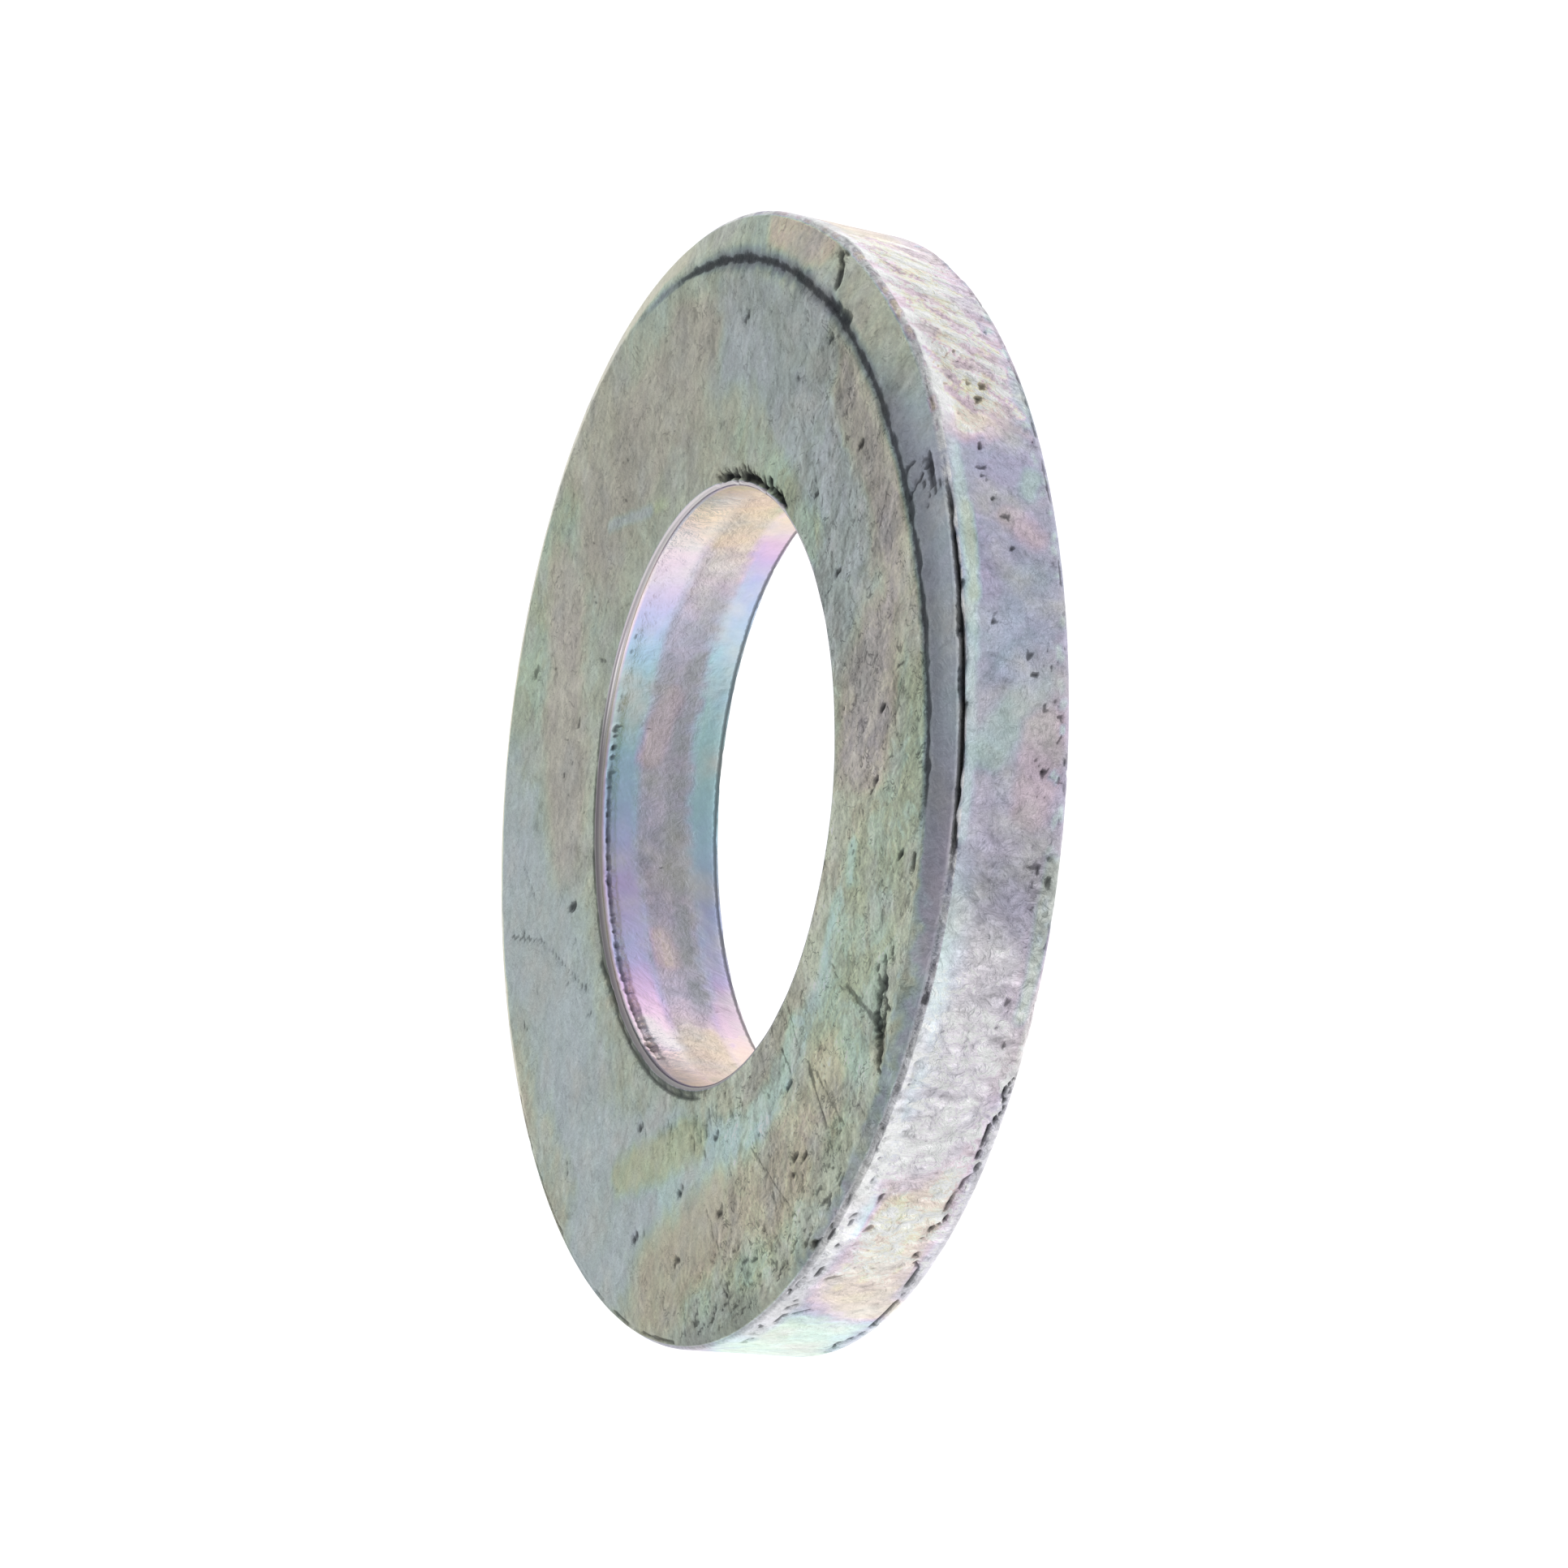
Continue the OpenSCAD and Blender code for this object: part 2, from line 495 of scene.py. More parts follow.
def film_bore(s):
    """Bands of film down the bore: burnished, torn, then smooth again, under painted light that
    varies round the bore.
    """
    z, hole = s.plans["bore"][1:]
    ragged = 0.1 * s.warp + 0.05 * s.jitter
    top = ease(0.86, 1.02, z + ragged)
    foot = ease(0.46, 0.28, z + 1.3 * ragged)
    torn = (1 - top) * (1 - foot)
    top_film = 1 + np.interp(s.turn, BORE_TURNS, TOP_FILMS)
    foot_film = 1 + np.interp(s.turn, BORE_TURNS, FOOT_FILMS)
    # Painted light round the bore: lighter to the north and west, darker in the north-west, by how
    # light falls into the hole.
    lit = 1 + 0.09 * within(80, 108, 8, s.turn) + 0.1 * within(176, 200, 8, s.turn)
    lit = lit - 0.13 * within(112, 162, 8, s.turn)
    film_torn_band(s, hole * torn, top_film, lit)
    whitish = within(78, 98, 8, s.turn)
    # The burnished top is a little lighter in tone, with a painted highlight from the north-west to
    # the west.
    tone_and_highlight = 1.05 + 0.12 * within(142, 200, 8, s.turn) + 0.06 * whitish
    s.paint(hole * top, film=top_film, chroma=0.75 - 0.35 * whitish, shade=tone_and_highlight * lit, dull=-0.1)
    s.paint(hole * foot, film=foot_film, chroma=0.72, shade=lit, dull=-0.1, ridge=0.1)
    dusky = within(98, 186, 10, s.turn) * ease(1.3, 0.3, np.abs(z - 0.52 + ragged) / 0.13)
    s.paint(hole * dusky * ease(-0.5, 0.3, s.jitter), film=0.66, chroma=0.25, shade=0.68)


def film_torn_band(s, share, film, lit):
    """The torn band halfway down the bore, grey in the north-west and rosy in the west."""
    mottled = 0.1 * s.warp + 0.1 * s.jitter
    grey_side = within(98, 186, 8, s.turn)
    s.paint(share, film=mix(film + 0.08, 0.76, grey_side) + 0.6 * mottled, chroma=0.4, ridge=0.1)
    rosy = within(178, 205, 8, s.turn)
    # The torn band takes the same painted light and shade as the rest of the bore.
    s.paint(share, shade=lit * (0.94 + 0.15 * rosy + 0.18 * s.jitter), wrinkle=0.25, dull=0.1)


def stain_bore(s):
    """Patches of film across the bands of the bore, and a painted highlight near its west end."""
    s.patches("bore", [
        ((166, 0.78), (172, 0.72), 0.14, tint(1.0, 0.55, 1.0)),
        ((118, 0.7), (130, 0.85), 0.12, {"film": 0.9, "chroma": 0.3}),
        ((205, 0.8), (196, 0.7), 0.4, tint(1.1, 0.6, 1.15)),
        # Painted highlight on a facet at the front end of the bore, just past the west.
        ((189, 1.2), (197, 1.05), 0.14, tint(0.97, 0.3, 1.35)),
        ((60, 0.9), (76, 0.8), 0.4, tint(1.12, 0.75, 1.06)),
    ])


# -------------------------------------------------------- edges and marks

def painted_highlights_and_pale_bands(s):
    """A painted highlight along the north-west edge of the chamfered face and along the chamfer's
    bead, and two paler bands on the rim below the bead.
    """
    outside = ease(OUTER_R - 0.15, OUTER_R - 0.08, s.ring.r + 0.03 * s.jitter)
    north_side = within(62, 174, 8, s.turn)
    edge = north_side * outside * s.mask(("land", "chamfer", "bead"))
    # Painted highlight along the north-west edge of the face, where the far edge catches the light.
    s.paint(edge, film=0.2, chroma=0.3, shade=1.4, wrinkle=0.2)
    bead = s.mask("bead") * ease(-0.5, 0.1, s.jitter)
    # Painted highlight on the chamfer's bead in the east.
    s.paint(bead * within(-58, 58, 6, s.angle), film=0.7, chroma=0.12, shade=1.5)
    below = s.ring.edge_z[:, None] - s.ring.z + 0.08 * s.jitter + 0.06 * s.warp
    # Two paler bands on the rim just below the bead, from east to north-east and in the south and
    # south-east.
    pale_ragged_band = within(-6, 50, 6, s.angle) * ease(0.24, 0.14, below) * s.mask("rim")
    s.paint(pale_ragged_band, film=0.7, chroma=0.12, shade=1.35, ridge=0.4)
    strip = within(-96, -50, 8, s.angle) * ease(0.46, 0.04, below) * s.mask("rim")
    s.paint(strip, film=0.56, chroma=0.3, shade=1.26, ridge=0.5)


def seam(s):
    """The step where the coined chamfer meets the face: a shallow dent with a painted shadow along
    it, and a dark core line of dirt and painted shade.
    """
    x, y, on = s.plans["face"]
    gap = np.hypot(x + COINED_OFFSET, y) - COINED_R
    strong = ease(-52, -42, s.angle) * ease(80, 70, s.angle)
    soft = mix(1.0, 0.7, ease(54, 60, s.angle))
    width = mix(0.08, 0.125, ease(5, 35, s.angle)) + 0.03 * s.warp
    width = mix(width, 0.05, ease(54, 64, s.angle))
    share = on * strong * soft * ease(1.4, 0.3, np.abs(gap) / width + 0.35 * s.jitter)
    # Painted shadow of the step, darkest in the north-east.
    s.paint(share, film=0.62, chroma=0.35, shade=mix(0.62, 0.5, ease(0, 25, s.angle)))
    s.cut(share, 0.025, 0.18)
    # The dark core line of the step: dirt and painted shade.
    core = within(24, 66, 6, s.angle) + 0.9 * within(-46, 24, 4, s.angle) * ease(-1.0, -0.2, s.warp)
    s.cut(on * core * ease(1.2, 0.4, np.abs(gap) / 0.058 + 0.6 * s.jitter), 0.015, 0.72)


def folded_edge(s):
    """The edge that folded over between chamfer and rim, open in its middle part."""
    z, wall = s.plans["rim"][1:]
    on = np.maximum(wall, s.mask("chamfer"))
    edge = s.ring.edge_z[:, None] - 0.01
    rough = cloud(s.points, 0.28, 97, 2)
    width = 0.026 * mix(0.5, 1.1, ease(-12, -24, s.angle)) * (1 + 0.6 * s.warp + 0.9 * rough)
    ragged = np.abs(z - edge + 0.012 * s.warp + 0.025 * rough) / np.maximum(width, 0.008)
    open_part = within(-50, -12, 4, s.angle)
    s.cut(on * open_part * ease(1.2, 0.4, ragged + 0.8 * s.jitter), 0.08, 1.0)
    thin = within(-52, 4, 4, s.angle) * ease(-0.1, 0.3, cloud(s.points, 0.5, 71))
    s.cut(on * thin * ease(1.0, 0.3, ragged + 0.5 * s.jitter), 0.03, 0.7)
    s.nick("rim", (-35, 1.2), (-36, 1.27), 0.05, 0.06)
    s.nick("rim", (-23.5, 1.27), (-22.5, 1.18), 0.05, 0.06)


def front_chips(s, rng):
    """The pale, flaked front edge of the rim to the south, with its dark chips."""
    z = s.ring.z
    flaked = within(-118, -66, 6, s.angle) * ease(1.08, 1.22, z + 0.06 * s.jitter)
    s.paint(s.mask(WALL) * flaked, film=0.72, chroma=0.16, shade=1.28)
    for angle in np.arange(-121, -60, 1.3):
        start = (angle, 1.3 + 0.14 * rng.uniform(-1, 0.6))
        end = near(rng, start, (0.3, 1.6), (-0.02, 0.04))
        soot_and_shade = rng.uniform(0.3, 0.9) * (1 if angle < -80 else 0.6)
        s.nick("rim", start, end, rng.uniform(0.012, 0.026), 0.03, soot_and_shade)
    for angle, low, high in [(-109, 1.0, 1.08), (-101, 0.94, 1.06), (-92.5, 0.94, 1.05),
                             (-88, 1.0, 1.03)]:
        s.nick("rim", (angle, low), (angle - 1, high), 0.022, 0.03, 0.8)


def torn_back_edge(s):
    """The crack where the rim's back edge tore, and the fine line that carries on from it."""
    torn = [(-124, 0.1), (-119, 0.2), (-114, 0.1), (-104, 0.13), (-99, 0.17), (-97, 0.29),
            (-94, 0.32), (-92, 0.28), (-91, 0.2), (-88, 0.24), (-85, 0.18), (-84, 0.1),
            (-81, 0.17), (-78, 0.15), (-76, 0.05), (-74, 0.12), (-72, 0.03)]
    s.crack("rim", torn, 0.016, 0.05, 1.0, breaks=0.22)
    s.crack("rim", [(-70, 0.03), (-20, 0.04), (30, 0.03)], 0.02, 0.02, 0.5, breaks=0.7)


def back_chips(s, rng):
    """A pale chip and a dark one at every few degrees of the rim's back edge."""
    for angle in np.arange(-64, 34, 2.6):
        start = near(rng, (angle, 0), (-1.5, 1.5), (0.05, 0.16))
        end = near(rng, start, (-1.2, 1.2), (-0.04, 0.04))
        s.patch("rim", start, end, 0.035, film=0.56, chroma=0.3, shade=1.18)
        start = near(rng, (angle, 0), (-1.5, 1.5), (0.03, 0.2))
        end = near(rng, start, (-0.7, 0.7), (-0.05, 0.05))
        s.nick("rim", start, end, rng.uniform(0.012, 0.024), 0.02, rng.uniform(0.2, 0.5))


def rim_edges(s):
    """The folded and flaked front edge of the rim, and its torn back edge."""
    rng = np.random.RandomState(19)
    folded_edge(s)
    front_chips(s, rng)
    torn_back_edge(s)
    back_chips(s, rng)


# Where the teeth of the bore's front edge start
TEETH_Z = 1.325


def bore_lines(s):
    """Dark lines round both ends of the bore."""
    radius, z = s.ring.r, s.ring.z
    front, hole = s.mask(FACE), s.mask(HOLE)
    rough = 0.6 * s.jitter + 0.3 * s.warp
    crescent = within(20, 53, 2, s.angle) * front
    s.cut(crescent * ease(1.2, 0.4, np.abs(radius - 3.3) / 0.055 + 1.5 * rough), 0.05, 1.0)
    dark = ease(160, 178, s.turn) * ease(236, 225, s.turn) * front
    s.cut(dark * ease(1.2, 0.4, np.abs(radius - 3.33) / 0.04 + rough), 0.03, 0.75)
    root = np.abs(z - TEETH_Z + 0.01 * s.warp) / 0.024
    line = within(128, 200, 10, s.turn) * hole
    s.cut(line * ease(1.3, 0.4, root + 0.4 * rough), 0.03, 0.85)
    faint = within(100, 128, 10, s.turn) * hole
    s.cut(faint * ease(1.2, 0.4, root + rough), 0.01, 0.35)
    s.cut(hole * ease(1.3, 0.4, np.abs(z - 0.04) / 0.04 + rough), 0.01, 0.75)


def bore_teeth(s):
    """Chips and burrs round the front end of the bore."""
    lean = math.degrees(0.02)
    rng = np.random.RandomState(29)
    for angle in np.arange(21, 54, 1.7):
        turn = angle + rng.uniform(-0.8, 0.8)
        tip = polar(3.3 + rng.uniform(0.02, 0.1), turn + lean)
        s.nick("face", polar(3.28, turn), tip, rng.uniform(0.02, 0.04), 0.03, rng.uniform(0.6, 1.0))
    for angle in np.arange(126, 204, 2.7):
        tip = near(rng, (angle, 1.315), (-1, 1), (0, -0.03))
        s.nick("bore", (angle, TEETH_Z), tip, rng.uniform(0.018, 0.036), 0.02, rng.uniform(0.6, 1))
    for angle in rng.uniform(120, 198, 16):
        tip = near(rng, (angle, 1.31), (-0.8, 0.8), (0, -0.04))
        width = rng.uniform(0.022, 0.038)
        s.nick("bore", (angle, TEETH_Z), tip, width, 0.012, rng.uniform(0.6, 0.95))


def bore_outline(s):
    """The smooth lip at the front end of the bore, painted bright from the east to the north and
    darker elsewhere, and the dark line round it.
    """
    lip = s.mask("lip")
    # Painted light and shade on the lip: a highlight from the east round to the north, darker from
    # the north-west on round to the south-east.
    s.paint(lip, film=0.94, chroma=0.25, shade=mix(1.4, 0.64, ease(104, 134, s.turn)), wrinkle=0)
    outline = within(122, 236, 12, s.turn) * s.mask(FACE)
    gap = np.abs(s.ring.r - BORE_R - 0.075) / 0.034
    s.cut(outline * ease(1.2, 0.3, gap + 0.3 * s.jitter), 0.005, 0.72)


def gouge(s, rng):
    """A cluster of nicks near the chamfer, which narrows to the south-west."""
    wide_end, narrow_end = np.array([2.4, -4.6]), np.array([1.6, -5.4])
    across = np.array([0.9, -0.4])
    for share in np.arange(0, 1, 0.04):
        centre = mix(wide_end, narrow_end, share)
        start = centre + rng.uniform(-1, 1) * mix(0.27, 0.02, share) * across
        end = near(rng, start, (0, -0.14), (-0.04, -0.2))
        s.nick("face", start, end, rng.uniform(0.025, 0.055), 0.03, rng.uniform(0.6, 0.95))


def face_nicks(s):
    """The nicks and scratches that are large enough to place one by one."""
    s.nicks("face", [
        ((0.25, -4.2), (0.25, -5.35), 0.035, 0.012, 0.5),
        ((0.35, -4.4), (0.6, -5.4), 0.03, 0.01, 0.45),
        ((0.2, -3.3), (0.15, -4.0), 0.035, 0.01, 0.4),
        ((1.45, -4.2), (1.8, -5.0), 0.05, 0.015, 0.5),
        ((-1.35, -4.0), (-0.8, -5.5), 0.022, 0.008, 0.42),
        ((5.8, -0.8), (5.75, -1.1), 0.05, 0.03, 0.85),
        ((5.85, -0.7), (5.75, -0.85), 0.03, 0.03, 0.7),
        ((5.75, -0.85), (5.6, -0.95), 0.025, 0.03, 0.75),
        ((5.6, -0.95), (5.45, -1.0), 0.02, 0.03, 0.5),
        ((5.65, -0.7), (5.55, -0.7), 0.03, 0.03, 0.6),
        ((5.7, -1.15), (5.6, -1.3), 0.02, 0.02, 0.5),
        ((5.35, 2.7), (5.35, 2.5), 0.045, 0.03, 0.8),
        ((5.35, 2.5), (5.25, 2.3), 0.06, 0.03, 0.9),
        ((5.35, 2.7), (5.5, 2.55), 0.035, 0.03, 0.75),
        ((5.5, 2.55), (5.7, 2.3), 0.028, 0.02, 0.6),
        ((5.1, 2.2), (5.35, 1.7), 0.07, 0.03, 0.7),
        ((3.0, -2.95), (3.25, -2.95), 0.03, 0.02, 0.6),
        ((3.4, -4.35), (3.5, -4.25), 0.05, 0.03, 0.7),
        ((-3.65, 1.6), (-3.55, 1.55), 0.07, 0.03, 0.8),
        ((-3.35, 0.5), (-3.3, -0.2), 0.05, 0.03, 0.8),
        ((3.4, 3.6), (3.5, 3.6), 0.05, 0.03, 0.8),
        ((-3.0, 4.5), (-2.9, 4.5), 0.07, 0.02, 0.5),
        ((-5.05, 2.45), (-4.45, 1.85), 0.035, 0.01, 0.45),
        ((-4.45, 1.85), (-3.8, 0.5), 0.03, 0.01, 0.42),
        ((-4.4, 2.9), (-4.35, 2.4), 0.03, 0.008, 0.35),
        ((-0.7, -5.9), (-0.6, -5.95), 0.06, 0.05, 0.9),
    ])
    short = [(-0.6, -4.8), (-0.7, -4.95), (-3.55, -1.75), (-4.3, -2.65), (-3.1, -3.05), (-2.4, -3.95),
             (-2.05, -3.2), (-3.6, -3.6), (-0.3, -4.05), (3.7, -2.4), (3.15, -2.9), (3.2, -4.0),
             (4.85, 0.3), (4.9, 1.8), (3.7, 0.7), (3.65, -0.4), (-0.4, -4.95)]
    for x, y in short:
        s.nick("face", (x, y), (x + 0.1, y - 0.03), 0.04, 0.03, 0.85)


def face_scratches(s, rng):
    """Fine scratches south of the bore, with scuffs at its edge and at the outer edge."""
    for turn in np.arange(-128, -20, 2.2):
        start = polar(rng.uniform(3.6, 5.6), turn)
        end = near(rng, start, (-0.15, 0.15), (-0.1, -0.45))
        s.nick("face", start, end, rng.uniform(0.016, 0.03), 0.008, rng.uniform(0.25, 0.5))
    s.strew(rng, "face", 60, ([-152, 3.42], [-104, 3.95]), ((0.02, -0.14), (0.02, -0.14)),
            (0.018, 0.04), 0.01, (0.2, 0.45), turned=True)
    s.strew(rng, "face", 100, ([-128, 5.1], [-84, 5.85]), ((-0.2, 0.2), (-0.05, 0.05)),
            (0.02, 0.04), 0.012, (0.25, 0.6), turned=True)


def chamfer_scuffs(s, rng):
    """Nicks round the mark on the east side of the chamfer, and a fine crack in the west."""
    s.strew(rng, "face", 14, ([5.66, -1.15], [5.84, -0.72]), ((0, -0.06), (-0.03, -0.12)),
            (0.012, 0.026), 0.02, (0.4, 0.9))
    turns = np.radians(np.arange(172, 232, 6))
    edge = list(zip(5.93 * np.cos(turns), 5.93 * np.sin(turns)))
    s.crack("face", edge, 0.022, 0.02, 0.45, breaks=0.8)


def face_marks(s):
    """The larger nicks, gouges and scratches on the chamfered face."""
    rng = np.random.RandomState(53)
    gouge(s, rng)
    face_nicks(s)
    face_scratches(s, rng)
    chamfer_scuffs(s, rng)


def rim_pits(s):
    """Pits on the rim, each a small cluster of nicks."""
    pits = [(-15.5, 0.6), (-15, 0.64), (-18.5, 0.58), (-13, 0.72), (-10.5, 0.8), (-9.8, 0.8),
            (-7, 0.75), (-16.3, 0.58), (-31.5, 0.43), (-29.5, 0.48), (-26.5, 0.84), (1.5, 0.7),
            (-50.5, 0.28), (-41, 0.3), (6, 0.76), (-0.5, 0.62), (1.2, 0.55),
            (-112, 0.04), (-74, 0.06), (39, 0.2), (-69, 0.3)]
    rng = np.random.RandomState(61)
    for pit in pits:
        for _ in range(3):
            start = near(rng, pit, (-0.3, 0.3), (-0.03, 0.03))
            end = near(rng, start, (-0.35, 0.35), (-0.03, 0.03))
            s.nick("rim", start, end, rng.uniform(0.014, 0.032), 0.015, rng.uniform(0.6, 0.95))


def rim_ripples(s):
    """The leaning waves that shearing left on the rim's east, and its pebbled south, with painted
    shade in their hollows; the rim is made lighter over both.
    """
    band = s.mask("rim")
    x, y, z = np.moveaxis(s.points, -1, 0)
    across = np.stack([x, y - 0.6 * z, 0.15 * z], axis=-1)
    wave = cloud(across, 0.2, 83, 2)
    torn = within(-4, 30, 5, s.angle) * band
    s.dent = s.dent + 0.035 * torn * wave
    # Painted shade in the hollows of the waves, in mauve film.
    s.paint(torn * ease(0.0, -0.3, wave), film=0.95, chroma=0.46, shade=0.95)
    worn = within(-100, -60, 8, s.angle) * band
    pebbled = cloud(s.points * [1, 1, 0.35], 0.13, 89, 2)
    s.dent = s.dent + 0.012 * worn * pebbled
    # Painted shade in the hollows of the pebbling.
    s.paint(worn * ease(0.0, -0.5, pebbled), shade=0.93)
    s.shade = s.shade * (1 + 0.48 * torn + 0.44 * worn)


def rim_strokes(s):
    """Strokes that lean across the rim along its shear ridges, mauve film painted as their shade and
    cream film as their highlight, and fine nicks.
    """
    # Mauve strokes are painted shade and cream strokes painted highlight, in the film's colours.
    mauve_shade, cream_highlight = tint(0.94, 0.5, 1.32), tint(1.17, 0.5, 1.88)
    rng = np.random.RandomState(41)
    for _ in range(120):
        angle, height = rng.uniform([0, 0.4], [32, 1.15])
        length = rng.uniform(0.3, 1.0)
        end = (angle - 3 * length, height - 0.24 * length)
        values = mauve_shade if rng.uniform(0, 1) < 0.5 else cream_highlight
        s.patch("rim", (angle, height), end, rng.uniform(0.025, 0.045), **values)
    s.strew(rng, "rim", 60, ([-3, 0.15], [33, 1.1]), ((-0.4, -1.8), (-0.04, -0.16)),
            (0.014, 0.024), 0.012, (0.2, 0.36))
    s.strew(rng, "rim", 60, ([-102, 0.1], [-46, 1.1]), ((-0.6, 0.6), (-0.06, -0.18)),
            (0.014, 0.024), 0.01, (0.2, 0.34))
    s.nick("rim", (26.5, 0.22), (28, 0.12), 0.06, 0.02, 0.3)


def back_pits(s):
    """Small pits along the back of the rim's south-east side."""
    rng = np.random.RandomState(37)
    s.strew(rng, "rim", 34, ([-68, 0.05], [-28, 0.42]), ((-0.9, 0.3), (-0.06, 0.06)),
            (0.014, 0.028), 0.015, (0.3, 0.75))


def stray_nicks(s):
    """Small handling marks all over, a little denser on the faces."""
    rng = np.random.RandomState(7)
    for plan, count, inner, outer in [("face", 90, 3.4, 5.7), ("back", 90, 3.5, 5.8)]:
        for _ in range(count):
            radius, turn, lean = rng.uniform([inner, 0, 0], [outer, 6.28, 6.28])
            x, y = radius * math.cos(turn), radius * math.sin(turn)
            long = rng.uniform(0.02, 0.14)
            end = (x + long * math.cos(lean), y + long * math.sin(lean))
            s.nick(plan, (x, y), end, rng.uniform(0.015, 0.032), 0.012, rng.uniform(0.2, 0.6))
    for plan, count, first in [("rim", 60, -180), ("bore", 30, 0)]:
        for _ in range(count):
            start = rng.uniform([first, 0.1], [first + 360, 1.1])
            end = near(rng, start, (-0.4, 0.4), (-0.08, 0.08))
            s.nick(plan, start, end, 0.022, 0.012, rng.uniform(0.2, 0.5))


# -------------------------------------------------------------------- mesh

# The steps that mark the surface, each laid over the ones before it
STEPS = (
    lay_ground, film_south_face, film_north_face, lighten_land, film_chamfer, film_south_rim,
    film_east_rim, film_bore, stain_bore, painted_highlights_and_pale_bands, seam, rim_edges, bore_lines, bore_teeth,
    bore_outline, face_marks, rim_pits, rim_ripples, rim_strokes, back_pits, stray_nicks,
)


def ring_mesh(points):
    """A closed mesh of quads through rows and lanes of points."""
    rows, lanes = points.shape[:2]
    number = np.arange(rows * lanes).reshape(rows, lanes)
    ahead, beside = np.roll(number, -1, 0), np.roll(number, -1, 1)
    corners = np.stack([number, beside, np.roll(ahead, -1, 1), ahead], -1)
    mesh = bpy.data.meshes.new("washer_skin")
    mesh.vertices.add(rows * lanes)
    mesh.vertices.foreach_set("co", points.astype(np.float32).ravel())
    mesh.loops.add(rows * lanes * 4)
    mesh.loops.foreach_set("vertex_index", corners.astype(np.int32).ravel())
    mesh.polygons.add(rows * lanes)
    mesh.polygons.foreach_set("loop_start", np.arange(0, rows * lanes * 4, 4, dtype=np.int32))
    mesh.polygons.foreach_set("use_smooth", np.ones(rows * lanes, bool))
    mesh.update(calc_edges=True)
    mesh.validate()
    return mesh


def build_washer():
    """The finished ring as one object, with the values its material reads."""
    ring = Ring()
    s = Surface(ring)
    for step in STEPS:
        step(s)
    mesh = ring_mesh((ring.points + ring.normal * s.dent[..., None]) * MM)
    for name in Surface.FIELDS:
        layer = mesh.attributes.new(name, "FLOAT", "POINT")
        layer.data.foreach_set("value", getattr(s, name).astype(np.float32).ravel())
    skin = bpy.data.objects.new("washer_skin", mesh)
    bpy.context.scene.collection.objects.link(skin)
    return skin


# --------------------------------------------------------------- materials

def tone(red, green, blue):
    """A colour given as 0 to 255 steps, in the linear values that nodes use."""
    def linear(step):
        x = step / 255
        return x / 12.92 if x < 0.04045 else ((x + 0.055) / 1.055) ** 2.4
    return linear(red), linear(green), linear(blue), 1.0


